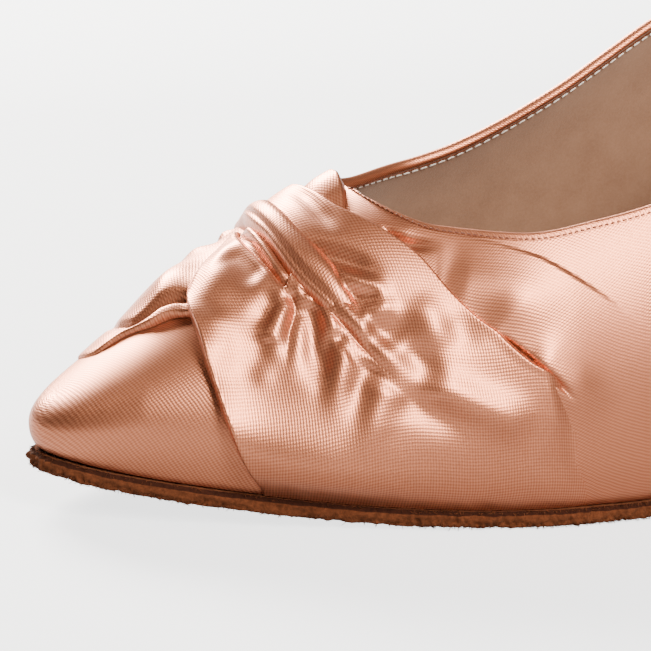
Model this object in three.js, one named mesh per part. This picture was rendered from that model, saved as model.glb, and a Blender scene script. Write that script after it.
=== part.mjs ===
// A left ballroom court shoe: satin upper with a twisted drape over the toe, suede outsole,
// flared covered heel. Millimetres, +Z up. The toe points to -X, the outer side of the foot is -Y,
// and the origin is the centre of the heel tip's floor face.
import * as THREE from 'three'
import { mergeVertices } from 'three/addons/utils/BufferGeometryUtils.js'

// Driving sizes
const SHOE_LENGTH = 238
const VAMP_LENGTH = 60
const THROAT_HEIGHT = 55.4
const HEEL_REST = 214
const BREAST = 192
const WALL = 1.8
const GAP = 0.3
const INSOLE_THICK = 2
const INSOLE_INSET = 2.2
const SOLE_THICK = 3.1
const SHANK_THICK = 2.2
const SOLE_OVERHANG = 0.8
const HEEL_TIP_THICK = 6
const HEEL_TIP_OVERHANG = 0.3

// Tables below are rows of [distance from the toe tip, value]
// Height of the last's feather edge, which is the top of the outsole
const FEATHER_HEIGHT = [
  [0, 11.2], [20, 7.8], [40, 5.4], [60, 3.9], [78, 3.4], [100, 3.4], [112, 4], [125, 7.4],
  [140, 14.9], [155, 24.4], [170, 34.9], [185, 44.4], [200, 51.4], [215, 55.9], [238, 60.9],
]
// Half widths of the feather edge on the outer and the inner side of the foot
const OUTER_HALF_WIDTH = [
  [0, 0], [3, 6.3], [8, 10.2], [16, 14.4], [30, 20], [50, 27.7], [70, 34.4], [90, 38.5],
  [104, 39], [120, 36.4], [140, 31.2], [160, 27.2], [180, 26.3], [200, 27], [214, 26],
  [226, 21], [234, 13], [238, 0],
]
const INNER_HALF_WIDTH = [
  [0, 0], [3, 6.1], [8, 9.8], [16, 14.1], [30, 20.4], [50, 28.7], [70, 35], [82, 36],
  [96, 34.5], [112, 29.7], [130, 24.4], [150, 21.8], [170, 23], [190, 26], [204, 27],
  [214, 26], [226, 21], [234, 13], [238, 0],
]
// How far the side swells out above the feather edge
const SWELL = [[0, 1.2], [20, 1.5], [60, 2], [100, 2.5], [150, 6.5], [200, 3], [238, 2]]
// Height of the top of the last, which the upper only reaches in front of the throat
const RIDGE_HEIGHT = [
  [0, 21], [20, 32.6], [40, 42.7], [60, 55.4], [70, 58.5], [82, 64.5], [96, 69], [112, 78],
  [130, 92], [150, 104], [170, 112], [200, 121], [238, 124],
]
// Exponent of the cross-section: 2 is an ellipse, more is squarer
const FULLNESS = [[0, 2], [60, 2], [110, 2.3], [170, 2.6], [238, 2.6]]

// Rows of [distance behind the throat, height from the throat] of the topline,
// and how much higher it runs on the inner side
const TOPLINE = [
  [0, 0], [10, -3.5], [22, -3.8], [36, -1.6], [52, 3.1], [72, 15.5], [95, 29], [120, 41],
  [148, 52], [168, 57], [178, 58],
]
const INNER_RISE = [[0, 0], [30, 2.1], [60, 8.4], [90, 6], [130, 2.5], [178, 0]]

// Shape of the last near its lower edge, its toe and its back
const SWELL_HEIGHT = 9
const SWELL_SHARE = 0.42
const LOW_SHARE = 0.22
const UNDERCUT = THREE.MathUtils.degToRad(65)
const TOE_STRETCH = 60
const TOE_UNDERCUT = 1.6
const TOE_SET_BACK = 4.4
const BACK_START = 170
const BACK_CURVE_HEIGHT = 18
const BACK_LEAN = 8
const BACK_LEAN_REACH = 37
const BACK_TUCK = 2

const OUTER = -1
const INNER = 1
const TINY = 1e-3

const SATIN = { color: 0xd8a48a, roughness: 0.42, metalness: 0 }
const SUEDE_SOLE = { color: 0x7a4a2c, roughness: 0.95, metalness: 0 }
const SOCK = { color: 0xa98a70, roughness: 0.9, metalness: 0 }
const TIP_RUBBER = { color: 0x5a3a28, roughness: 0.7, metalness: 0 }

// A smooth curve through the rows that never swings past them (monotone cubic)
function curveThrough(rows) {
  const n = rows.length
  const steps = []
  const slopes = []
  for (let i = 0; i + 1 < n; i++) {
    steps.push(rows[i + 1][0] - rows[i][0])
    slopes.push((rows[i + 1][1] - rows[i][1]) / steps[i])
  }
  const tangents = rows.map((row, i) => {
    if (i === 0 || i === n - 1) {
      return endTangent(steps, slopes, i === 0)
    }
    if (slopes[i - 1] * slopes[i] <= 0) {
      return 0
    }
    const before = 2 * steps[i] + steps[i - 1]
    const after = steps[i] + 2 * steps[i - 1]
    return (before + after) / (before / slopes[i - 1] + after / slopes[i])
  })
  return (place) => {
    const x = THREE.MathUtils.clamp(place, rows[0][0], rows[n - 1][0])
    let i = 0
    while (i < n - 2 && x > rows[i + 1][0]) {
      i += 1
    }
    const s = (x - rows[i][0]) / steps[i]
    const rise = steps[i] * ((s * s * s - 2 * s * s + s) * tangents[i] + (s * s * s - s * s) * tangents[i + 1])
    return (2 * s * s * s - 3 * s * s + 1) * rows[i][1] + (3 * s * s - 2 * s * s * s) * rows[i + 1][1] + rise
  }
}

function endTangent(steps, slopes, atStart) {
  const h = atStart ? steps : [...steps].reverse()
  const m = atStart ? slopes : [...slopes].reverse()
  if (m.length < 2) {
    return m[0]
  }
  const tangent = ((2 * h[0] + h[1]) * m[0] - h[0] * m[1]) / (h[0] + h[1])
  if (tangent * m[0] <= 0) {
    return 0
  }
  if (m[0] * m[1] <= 0 && Math.abs(tangent) > 3 * Math.abs(m[0])) {
    return 3 * m[0]
  }
  return tangent
}

// Angle around a round-ended outline for a place along it
function roundAngle(along) {
  return Math.acos(1 - 2 * THREE.MathUtils.clamp(along / SHOE_LENGTH, 0, 1))
}

function roundEnded(rows) {
  const curve = curveThrough(rows.map(([along, width]) => [roundAngle(along), width]))
  return (along) => curve(roundAngle(along))
}

const featherHeight = curveThrough(FEATHER_HEIGHT)
const outerHalfWidth = roundEnded(OUTER_HALF_WIDTH)
const innerHalfWidth = roundEnded(INNER_HALF_WIDTH)
const swell = curveThrough(SWELL)
const ridgeHeight = curveThrough(RIDGE_HEIGHT)
const fullness = curveThrough(FULLNESS)
const toplineHeight = curveThrough(TOPLINE)
const innerRise = curveThrough(INNER_RISE)

// A point of the last: along from the toe tip, up from 0 at the feather edge to 1 at the ridge
function lastPoint(along, up, side) {
  const base = featherHeight(along)
  const height = ridgeHeight(along) - base
  const edge = side === OUTER ? outerHalfWidth(along) : innerHalfWidth(along)
  const wide = edge + swell(along) * Math.min(1, edge / 8)
  const wideHeight = Math.min(SWELL_HEIGHT, height * SWELL_SHARE)
  const toe = Math.max(0, 1 - along / TOE_STRETCH) ** 2
  let y
  let z
  let setBack
  if (up < LOW_SHARE) {
    const turn = UNDERCUT * (1 - up / LOW_SHARE)
    const inwards = (1 - Math.cos(turn)) / (1 - Math.cos(UNDERCUT))
    y = wide - (wide - edge) * inwards
    z = wideHeight * (1 - Math.sin(turn) / Math.sin(UNDERCUT))
    setBack = TOE_UNDERCUT * inwards
  } else {
    const turn = ((up - LOW_SHARE) / (1 - LOW_SHARE)) * Math.PI / 2
    const power = 2 / fullness(along)
    y = wide * Math.max(0, Math.cos(turn)) ** power
    z = wideHeight + (height - wideHeight) * Math.sin(turn) ** power
    setBack = TOE_SET_BACK * Math.sin(turn) ** 2
  }
  const back = THREE.MathUtils.clamp((along - BACK_START) / (SHOE_LENGTH - BACK_START), 0, 1) ** 2
  const above = z > BACK_CURVE_HEIGHT
  const lean = above
    ? BACK_LEAN * ((z - BACK_CURVE_HEIGHT) / BACK_LEAN_REACH) ** 2
    : BACK_TUCK * ((BACK_CURVE_HEIGHT - z) / BACK_CURVE_HEIGHT) ** 2
  return new THREE.Vector3(along + toe * setBack - back * lean - HEEL_REST, side * y, base + z)
}

// How far up the last the topline runs
function toplineUp(along, side) {
  if (along <= VAMP_LENGTH) {
    return 1
  }
  const behind = along - VAMP_LENGTH
  const rise = side === INNER ? innerRise(behind) : 0
  const base = featherHeight(along)
  const height = ridgeHeight(along) - base
  const wideHeight = Math.min(SWELL_HEIGHT, height * SWELL_SHARE)
  const z = THROAT_HEIGHT + toplineHeight(behind) + rise - base
  const share = THREE.MathUtils.clamp((z - wideHeight) / (height - wideHeight), 0, 1)
  const turn = Math.asin(share ** (fullness(along) / 2))
  return LOW_SHARE + (1 - LOW_SHARE) * turn / (Math.PI / 2)
}

// The same surface with one coordinate across: -1 outer feather edge, 0 ridge, 1 inner feather edge
function vampPoint(along, across) {
  return lastPoint(along, 1 - Math.abs(across), across < 0 ? OUTER : INNER)
}

function vampNormal(along, across) {
  const forward = vampPoint(along + TINY, across).sub(vampPoint(along - TINY, across))
  const sideways = vampPoint(along, across + TINY).sub(vampPoint(along, across - TINY))
  return forward.cross(sideways).normalize()
}

// Mesh helpers
function quad(faces, a, b, c, d) {
  faces.push([a, b, c])
  faces.push([a, c, d])
}

function toGeometry(faces) {
  const numbers = faces.flatMap((face) => face.flatMap((p) => [p.x, p.y, p.z]))
  const soup = new THREE.BufferGeometry()
  soup.setAttribute('position', new THREE.Float32BufferAttribute(numbers, 3))
  const merged = mergeVertices(soup, TINY)
  const index = merged.getIndex()
  const kept = []
  for (let i = 0; i < index.count; i += 3) {
    const [a, b, c] = [index.getX(i), index.getX(i + 1), index.getX(i + 2)]
    if (a !== b && b !== c && c !== a) {
      kept.push(a, b, c)
    }
  }
  merged.setIndex(kept)
  return merged
}

function vertex(geometry, i) {
  return new THREE.Vector3().fromBufferAttribute(geometry.getAttribute('position'), i)
}

// A closed body between an open sheet and the same sheet moved back along its normals
function thickened(sheet, depth) {
  sheet.computeVertexNormals()
  const normals = sheet.getAttribute('normal')
  const index = sheet.getIndex()
  const behind = []
  for (let i = 0; i < normals.count; i++) {
    const normal = new THREE.Vector3().fromBufferAttribute(normals, i)
    behind.push(vertex(sheet, i).addScaledVector(normal, -depth))
  }
  const faces = []
  const edges = new Map()
  for (let i = 0; i < index.count; i += 3) {
    const corners = [index.getX(i), index.getX(i + 1), index.getX(i + 2)]
    faces.push(corners.map((c) => vertex(sheet, c)))
    faces.push([...corners].reverse().map((c) => behind[c]))
    corners.forEach((corner, k) => edges.set(`${corner},${corners[(k + 1) % 3]}`, [corner, corners[(k + 1) % 3]]))
  }
  for (const [from, to] of edges.values()) {
    if (!edges.has(`${to},${from}`)) {
      quad(faces, vertex(sheet, to), vertex(sheet, from), behind[from], behind[to])
    }
  }
  return toGeometry(faces)
}

// A closed body between two grids of points with the same layout; the first one lies outside
function between(outside, inside) {
  const faces = []
  const rows = outside.length - 1
  const columns = outside[0].length - 1
  for (let i = 0; i < rows; i++) {
    for (let j = 0; j < columns; j++) {
      quad(faces, outside[i][j], outside[i + 1][j], outside[i + 1][j + 1], outside[i][j + 1])
      quad(faces, inside[i][j], inside[i][j + 1], inside[i + 1][j + 1], inside[i + 1][j])
    }
    quad(faces, outside[i][0], inside[i][0], inside[i + 1][0], outside[i + 1][0])
    quad(faces, outside[i + 1][columns], inside[i + 1][columns], inside[i][columns], outside[i][columns])
  }
  for (let j = 0; j < columns; j++) {
    quad(faces, outside[0][j + 1], inside[0][j + 1], inside[0][j], outside[0][j])
    quad(faces, outside[rows][j], inside[rows][j], inside[rows][j + 1], outside[rows][j + 1])
  }
  return toGeometry(faces)
}

function steps(count) {
  return Array.from({ length: count + 1 }, (_, i) => i / count)
}

function addPiece(group, name, geometry, look) {
  const mesh = new THREE.Mesh(geometry, new THREE.MeshStandardMaterial(look))
  mesh.name = name
  group.add(mesh)
}

// Upper: one sheet round the last from the feather edge to the topline, then thickened inwards
function upperGeometry() {
  const front = steps(13).map((s) => VAMP_LENGTH * (1 - Math.cos(s * Math.PI / 2)))
  const rear = steps(28).map((s) => VAMP_LENGTH + (SHOE_LENGTH - VAMP_LENGTH) * (1 - Math.cos(s * Math.PI)) / 2)
  const stations = [...front, ...rear.slice(1)]
  const ups = steps(12).map((s) => s ** 1.15)
  const faces = []
  for (const side of [OUTER, INNER]) {
    const grid = stations.map((along) => {
      const top = toplineUp(along, side)
      return ups.map((up) => lastPoint(along, up * top, side))
    })
    for (let i = 0; i + 1 < stations.length; i++) {
      for (let j = 0; j + 1 < ups.length; j++) {
        const ring = [grid[i][j], grid[i + 1][j], grid[i + 1][j + 1], grid[i][j + 1]]
        quad(faces, ...(side === OUTER ? ring : ring.reverse()))
      }
    }
  }
  return thickened(toGeometry(faces), WALL)
}

// The feather edge seen from above, grown outwards by a distance
function outlinePoint(along, side, grow) {
  const at = (angle) => {
    const place = SHOE_LENGTH * (1 - Math.cos(angle)) / 2
    return lastPoint(place, 0, angle < 0 || angle > Math.PI ? -side : side)
  }
  const angle = roundAngle(along)
  const turn = at(angle + 0.01).sub(at(angle - 0.01))
  const outwards = new THREE.Vector3(turn.y, -turn.x, 0).normalize().multiplyScalar(-side * grow)
  return at(angle).add(outwards)
}

// A flat-across layer under the foot, between two heights from the feather edge
function footLayer(stations, grow, topOffset, bottomOffset) {
  const layer = (offset) => stations.map((along) => [OUTER, INNER].map((side) => {
    const p = outlinePoint(along, side, grow)
    p.z = featherHeight(p.x + HEEL_REST) + offset(along)
    return p
  }))
  return between(layer(topOffset), layer(bottomOffset))
}

function outsoleGeometry() {
  const thickness = curveThrough([[0, SOLE_THICK], [112, SOLE_THICK], [140, SHANK_THICK], [BREAST, SHANK_THICK]])
  const toe = steps(12).map((s) => 60 * (1 - Math.cos(s * Math.PI / 2)))
  const rest = [66, 72, 78, 83, 89, 95, 100, 105, 110, 116, 122, 130, 138, 146, 154, 162, 170, 178, 185, BREAST]
  return footLayer([...toe, ...rest], SOLE_OVERHANG, () => -GAP, (along) => -GAP - thickness(along))
}

function insoleGeometry() {
  const stations = steps(40).map((s) => SHOE_LENGTH * (1 - Math.cos(s * Math.PI)) / 2)
  return footLayer(stations, -INSOLE_INSET, () => INSOLE_THICK, () => 0)
}

// Heel: rows of [share of the way down, front, back, half width], measured from the toe tip
const HEEL_SHAPE = [
  [0, 192.3, 238, 26.5], [0.12, 195, 236.6, 21.5], [0.28, 198.6, 234.2, 17], [0.5, 201.4, 230.8, 13.6],
  [0.75, 202.4, 227.8, 12.4], [1, 201, 227, 13.2],
]
const heelFront = curveThrough(HEEL_SHAPE.map(([down, front]) => [down, front]))
const heelBack = curveThrough(HEEL_SHAPE.map(([down, , back]) => [down, back]))
const heelWidth = curveThrough(HEEL_SHAPE.map(([down, , , width]) => [down, width]))
const HEEL_CORNER = 0.62

// One ring of the heel, from the outer front corner round the back to the inner one and across
function heelRing(down, grow) {
  const front = heelFront(down) - grow
  const back = heelBack(down) + grow
  const width = heelWidth(down) + grow
  const seatShare = 1 - THREE.MathUtils.smoothstep(down, 0, 0.3)
  const roundPart = steps(24).map((s) => {
    const side = s < 0.5 ? OUTER : INNER
    const turn = (s - 0.5) * Math.PI
    const reach = Math.cos(turn) ** HEEL_CORNER
    const plain = new THREE.Vector3(front + (back - front) * reach - HEEL_REST, width * Math.sin(turn), 0)
    const seatAlong = BREAST + GAP + (SHOE_LENGTH - BREAST - GAP) * Math.abs(Math.cos(turn)) ** HEEL_CORNER
    const seat = outlinePoint(seatAlong, side, 0.4 + grow)
    if (s === 0.5) {
      seat.y = 0
    }
    seat.z = 0
    return plain.lerp(seat, seatShare)
  })
  const last = roundPart[roundPart.length - 1]
  const across = steps(6).slice(1, 6).map((s) => last.clone().lerp(roundPart[0], s))
  return [...roundPart, ...across]
}

function closedLoft(rings) {
  const faces = []
  const count = rings[0].length
  rings.slice(0, -1).forEach((ring, i) => {
    ring.forEach((p, j) => {
      const next = (j + 1) % count
      quad(faces, p, rings[i + 1][j], rings[i + 1][next], ring[next])
    })
  })
  for (const [ring, flip] of [[rings[0], false], [rings[rings.length - 1], true]]) {
    const faces2d = THREE.ShapeUtils.triangulateShape(ring.map((p) => new THREE.Vector2(p.x, p.y)), [])
    for (const corners of faces2d) {
      const face = corners.map((c) => ring[c])
      faces.push(flip ? face.reverse() : face)
    }
  }
  return toGeometry(faces)
}

function heelGeometry() {
  const top = heelRing(0, 0)
  const rings = steps(16).map((s) => {
    const down = s ** 1.3
    return heelRing(down, 0).map((p, j) => {
      const seatHeight = featherHeight(top[j].x + HEEL_REST) - GAP
      return new THREE.Vector3(p.x, p.y, THREE.MathUtils.lerp(seatHeight, HEEL_TIP_THICK + GAP, down))
    })
  })
  return closedLoft(rings)
}

function heelTipGeometry() {
  const ring = heelRing(1, HEEL_TIP_OVERHANG)
  return closedLoft([HEEL_TIP_THICK, 0].map((z) => ring.map((p) => new THREE.Vector3(p.x, p.y, z))))
}

// Folds of the drape: a ridge line over the last as [along, across] points, its height and half breadth
const OUTER_FOLDS = [
  { line: [[47, -0.2], [52, -0.4], [58, -0.56], [64, -0.66]], height: 2.4, breadth: 5 },
  { line: [[52, -0.2], [62, -0.36], [72, -0.5], [84, -0.64]], height: 1.6, breadth: 6 },
  { line: [[40, -0.22], [36, -0.4], [40, -0.62]], height: 1.6, breadth: 6 },
  { line: [[43, -0.24], [48, -0.44], [54, -0.64]], height: 1.4, breadth: 4 },
]
const INNER_FOLDS = [
  { line: [[44, 0.26], [42, 0.45], [44, 0.7]], height: 1.8, breadth: 6 },
  { line: [[50, 0.26], [60, 0.42], [72, 0.58]], height: 1.8, breadth: 6 },
  { line: [[30, 0.26], [26, 0.42], [30, 0.6]], height: 1.4, breadth: 5 },
]
const KNOT_FOLDS = [
  { line: [[53, 0.22], [49, 0.05], [46, -0.17]], height: 4, breadth: 6 },
  { line: [[40, 0.22], [38, 0.05], [35, -0.16]], height: 3.2, breadth: 7 },
  { line: [[26, 0.22], [20, 0.1], [23, -0.04]], height: 1.8, breadth: 5 },
]
const CLOTH = 1.2
const LIFT = 0.5
const EDGE_THIN = 0.12

function foldHeight(point, folds) {
  let height = 0
  for (const fold of folds) {
    const line = fold.line.map(([along, across]) => vampPoint(along, across))
    let nearest = Infinity
    for (let i = 0; i + 1 < line.length; i++) {
      const close = new THREE.Line3(line[i], line[i + 1]).closestPointToPoint(point, true, new THREE.Vector3())
      nearest = Math.min(nearest, close.distanceTo(point))
    }
    height = Math.max(height, fold.height * Math.exp(-((nearest / fold.breadth) ** 2)))
  }
  return height
}

// A cloth body over the vamp between two values across, with a front and a rear edge as curves
function drapeGeometry({ from, to, front, rear, folds, rows, columns }) {
  const frontEdge = curveThrough(front)
  const rearEdge = curveThrough(rear)
  const outside = []
  const inside = []
  for (const c of steps(columns)) {
    const cells = steps(rows).map((r) => {
      const across = THREE.MathUtils.lerp(from, to, r)
      const along = THREE.MathUtils.lerp(frontEdge(across), rearEdge(across), c)
      const normal = vampNormal(along, across)
      const base = vampPoint(along, across)
      const inner = Math.min(1, Math.min(c, 1 - c) / EDGE_THIN)
      const height = CLOTH * (0.6 + 0.4 * inner) + foldHeight(base, folds) * (0.35 + 0.65 * inner)
      return [base.clone().addScaledVector(normal, LIFT + height), base.addScaledVector(normal, LIFT)]
    })
    outside.push(cells.map((cell) => cell[0]))
    inside.push(cells.map((cell) => cell[1]))
  }
  return between(outside, inside)
}

const shoe = new THREE.Group()
addPiece(shoe, 'upper', upperGeometry(), SATIN)
addPiece(shoe, 'outsole', outsoleGeometry(), SUEDE_SOLE)
addPiece(shoe, 'insole', insoleGeometry(), SOCK)
addPiece(shoe, 'heel', heelGeometry(), SATIN)
addPiece(shoe, 'heel_tip', heelTipGeometry(), TIP_RUBBER)
addPiece(shoe, 'drape_outer', drapeGeometry({
  from: -0.95,
  to: -0.2,
  front: [[-0.95, 35], [-0.64, 28.5], [-0.36, 26], [-0.2, 27]],
  rear: [[-0.95, 91], [-0.74, 87], [-0.615, 81.5], [-0.465, 71], [-0.2, 58]],
  folds: OUTER_FOLDS,
  rows: 22,
  columns: 18,
}), SATIN)
addPiece(shoe, 'drape_inner', drapeGeometry({
  from: 0.25,
  to: 0.95,
  front: [[0.25, 12], [0.5, 16], [0.75, 22], [0.95, 30]],
  rear: [[0.25, 58], [0.5, 70], [0.75, 80], [0.95, 86]],
  folds: INNER_FOLDS,
  rows: 20,
  columns: 18,
}), SATIN)
addPiece(shoe, 'twist_knot', drapeGeometry({
  from: -0.19,
  to: 0.24,
  front: [[-0.19, 27], [-0.05, 16], [0.08, 11.5], [0.24, 12]],
  rear: [[-0.19, 58], [0, 56], [0.24, 58]],
  folds: KNOT_FOLDS,
  rows: 16,
  columns: 24,
}), SATIN)

export default shoe
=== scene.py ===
import math

import bpy
import numpy as np
from mathutils import Matrix, Vector


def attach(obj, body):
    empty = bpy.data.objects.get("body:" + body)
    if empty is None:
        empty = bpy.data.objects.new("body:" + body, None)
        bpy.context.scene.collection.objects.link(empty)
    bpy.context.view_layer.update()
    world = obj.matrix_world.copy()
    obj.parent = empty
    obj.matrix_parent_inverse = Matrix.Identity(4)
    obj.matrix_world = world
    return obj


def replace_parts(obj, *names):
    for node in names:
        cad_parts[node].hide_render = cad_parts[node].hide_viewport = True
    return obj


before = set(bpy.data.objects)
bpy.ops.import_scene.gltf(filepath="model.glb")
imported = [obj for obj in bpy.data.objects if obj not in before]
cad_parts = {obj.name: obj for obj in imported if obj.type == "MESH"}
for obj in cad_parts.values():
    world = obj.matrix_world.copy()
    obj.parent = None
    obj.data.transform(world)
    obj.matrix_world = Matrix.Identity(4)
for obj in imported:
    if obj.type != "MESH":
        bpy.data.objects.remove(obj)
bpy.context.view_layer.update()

# The shoe is worked out in millimetres and turned into metres when a mesh is made
MM = 0.001
BODY = "root"
OUTER = -1
INNER = 1

# Driving sizes of the shoe, the same as the part's
SHOE_LENGTH = 238
VAMP_LENGTH = 60
THROAT_HEIGHT = 55.4
HEEL_REST = 214
BREAST = 192
WALL = 1.8
GAP = 0.3
INSOLE_THICK = 2
SOLE_THICK = 3.1
SHANK_THICK = 2.2
HEEL_TIP_THICK = 6

# Rows of (distance from the toe tip, value)
FEATHER_HEIGHT = [
    (0, 11.2), (20, 7.8), (40, 5.4), (60, 3.9), (78, 3.4), (100, 3.4), (112, 4), (125, 7.4),
    (140, 14.9), (155, 24.4), (170, 34.9), (185, 44.4), (200, 51.4), (215, 55.9), (238, 60.9),
]
OUTER_HALF_WIDTH = [
    (0, 0), (3, 6.3), (8, 10.2), (16, 14.4), (30, 20), (50, 27.7), (70, 34.4), (90, 38.5),
    (104, 39), (120, 36.4), (140, 31.2), (160, 27.2), (180, 26.3), (200, 27), (214, 26),
    (226, 21), (234, 13), (238, 0),
]
INNER_HALF_WIDTH = [
    (0, 0), (3, 6.1), (8, 9.8), (16, 14.1), (30, 20.4), (50, 28.7), (70, 35), (82, 36),
    (96, 34.5), (112, 29.7), (130, 24.4), (150, 21.8), (170, 23), (190, 26), (204, 27),
    (214, 26), (226, 21), (234, 13), (238, 0),
]
SWELL = [(0, 1.2), (20, 1.5), (60, 2), (100, 2.5), (150, 6.5), (200, 3), (238, 2)]
RIDGE_HEIGHT = [
    (0, 21), (20, 32.6), (40, 42.7), (60, 55.4), (70, 58.5), (82, 64.5), (96, 69), (112, 78),
    (130, 92), (150, 104), (170, 112), (200, 121), (238, 124),
]
FULLNESS = [(0, 2), (60, 2), (110, 2.3), (170, 2.6), (238, 2.6)]
# Rows of (distance behind the throat, value)
TOPLINE = [
    (0, 0), (10, -3.5), (22, -3.8), (36, -1.6), (52, 3.1), (72, 15.5), (95, 29), (120, 41),
    (148, 52), (168, 57), (178, 58),
]
INNER_RISE = [(0, 0), (30, 2.1), (60, 8.4), (90, 6), (130, 2.5), (178, 0)]

# The wall bulges out to its widest line and turns in below it
WIDEST_HEIGHT = 9
WIDEST_SHARE = 0.42
LOW_SHARE = 0.22
UNDERCUT = math.radians(65)


# Curves and the last's surface
def smooth_curve(rows):
    """A curve through the rows that never swings past them (monotone cubic)."""
    x, y = np.array(rows, float).T
    step = np.diff(x)
    slope = np.diff(y) / step
    tangent = np.zeros(len(x))
    before = 2 * step[1:] + step[:-1]
    after = step[1:] + 2 * step[:-1]
    same = slope[:-1] * slope[1:] > 0
    with np.errstate(divide="ignore", invalid="ignore"):
        blend = (before + after) / (before / slope[:-1] + after / slope[1:])
    tangent[1:-1] = np.where(same, blend, 0)
    for end, h, m in ((0, step, slope), (-1, step[::-1], slope[::-1])):
        if len(m) < 2:
            tangent[end] = m[0]
            continue
        t = ((2 * h[0] + h[1]) * m[0] - h[0] * m[1]) / (h[0] + h[1])
        if t * m[0] <= 0:
            t = 0
        elif m[0] * m[1] <= 0 and abs(t) > 3 * abs(m[0]):
            t = 3 * m[0]
        tangent[end] = t

    def at(place):
        p = np.clip(np.asarray(place, float), x[0], x[-1])
        i = np.clip(np.searchsorted(x, p, side="right") - 1, 0, len(x) - 2)
        s = (p - x[i]) / step[i]
        rise = step[i] * ((s**3 - 2 * s**2 + s) * tangent[i] + (s**3 - s**2) * tangent[i + 1])
        return (2 * s**3 - 3 * s**2 + 1) * y[i] + (3 * s**2 - 2 * s**3) * y[i + 1] + rise

    return at


def smoothstep(low, high, value):
    s = np.clip((np.asarray(value, float) - low) / (high - low), 0, 1)
    return s * s * (3 - 2 * s)


def round_angle(along):
    return np.arccos(1 - 2 * np.clip(np.asarray(along, float) / SHOE_LENGTH, 0, 1))


def round_ended(rows):
    curve = smooth_curve([(float(round_angle(along)), width) for along, width in rows])
    return lambda along: curve(round_angle(along))


feather_height = smooth_curve(FEATHER_HEIGHT)
half_width = {OUTER: round_ended(OUTER_HALF_WIDTH), INNER: round_ended(INNER_HALF_WIDTH)}
swell = smooth_curve(SWELL)
ridge_height = smooth_curve(RIDGE_HEIGHT)
fullness = smooth_curve(FULLNESS)
topline_height = smooth_curve(TOPLINE)
inner_rise = smooth_curve(INNER_RISE)


def wall_heights(along):
    """Heights of the ridge and of the widest line over the feather edge."""
    height = ridge_height(along) - feather_height(along)
    return height, np.minimum(WIDEST_HEIGHT, height * WIDEST_SHARE)


def last_point(along, up, side):
    """Points of the last, in millimetres: up runs from 0 at the feather edge to 1 at the ridge."""
    along, up = np.broadcast_arrays(np.asarray(along, float), np.asarray(up, float))
    base = feather_height(along)
    height, wide_height = wall_heights(along)
    edge = half_width[side](along)
    wide = edge + swell(along) * np.minimum(1, edge / 8)
    low = up < LOW_SHARE
    under = UNDERCUT * np.clip(1 - up / LOW_SHARE, 0, 1)
    inwards = (1 - np.cos(under)) / (1 - math.cos(UNDERCUT))
    over = np.clip((up - LOW_SHARE) / (1 - LOW_SHARE), 0, 1) * math.pi / 2
    power = 2 / fullness(along)
    y = np.where(low, wide - (wide - edge) * inwards, wide * np.maximum(0, np.cos(over)) ** power)
    low_z = wide_height * (1 - np.sin(under) / math.sin(UNDERCUT))
    z = np.where(low, low_z, wide_height + (height - wide_height) * np.sin(over) ** power)
    toe = np.clip(1 - along / 60, 0, 1) ** 2
    set_back = np.where(low, 1.6 * inwards, 4.4 * np.sin(over) ** 2)
    back = np.clip((along - 170) / 68, 0, 1) ** 2
    lean = np.where(z > 18, 8 * ((z - 18) / 37) ** 2, 2 * ((18 - z) / 18) ** 2)
    return np.stack([along + toe * set_back - back * lean - HEEL_REST, side * y, base + z], -1)


def topline_up(along, side):
    """How far up the last the topline runs."""
    along = np.asarray(along, float)
    behind = np.clip(along - VAMP_LENGTH, 0, None)
    rise = inner_rise(behind) if side == INNER else 0
    height, wide_height = wall_heights(along)
    z = THROAT_HEIGHT + topline_height(behind) + rise - feather_height(along)
    share = np.clip((z - wide_height) / (height - wide_height), 0, 1)
    over = np.arcsin(share ** (fullness(along) / 2))
    return np.where(along <= VAMP_LENGTH, 1.0, LOW_SHARE + (1 - LOW_SHARE) * over / (math.pi / 2))


def vamp_point(along, across):
    """The last with across in hundredths: -100 outer feather edge, 0 ridge, 100 inner feather edge."""
    along, across = np.broadcast_arrays(np.asarray(along, float), np.asarray(across, float))
    up = 1 - np.abs(across) / 100
    outer = last_point(along, up, OUTER)
    inner = last_point(along, up, INNER)
    return np.where((across < 0)[..., None], outer, inner)


def unit(vectors):
    return vectors / (np.linalg.norm(vectors, axis=-1, keepdims=True) + 1e-12)


def vamp_normal(along, across):
    forward = vamp_point(along + 0.05, across) - vamp_point(along - 0.05, across)
    sideways = vamp_point(along, across + 0.1) - vamp_point(along, across - 0.1)
    return unit(np.cross(forward, sideways))


def grid_normals(points):
    return unit(np.cross(np.gradient(points, axis=0), np.gradient(points, axis=1)))


def path_points(corners, count):
    """Evenly numbered points on a smooth curve through given corners."""
    rows = np.array(corners, float)
    places = np.arange(len(rows))
    t = np.linspace(0, len(rows) - 1, count)
    return np.stack([smooth_curve(list(zip(places, rows[:, k])))(t) for k in range(rows.shape[1])], -1)


# Meshes
def make_piece(name, points, faces, material, cloth=None, smooth=True):
    """A mesh object from points in millimetres, riding on the shoe's body."""
    mesh = bpy.data.meshes.new(name)
    mesh.from_pydata((np.asarray(points) * MM).tolist(), [], [list(face) for face in faces])
    mesh.validate()
    if smooth:
        mesh.polygons.foreach_set("use_smooth", [True] * len(mesh.polygons))
    if cloth is not None:
        layer = mesh.attributes.new("cloth", "FLOAT_VECTOR", "POINT")
        layer.data.foreach_set("vector", np.asarray(cloth, np.float32).ravel())
    mesh.materials.append(material)
    obj = bpy.data.objects.new(name, mesh)
    bpy.context.collection.objects.link(obj)
    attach(obj, BODY)
    return obj


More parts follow.
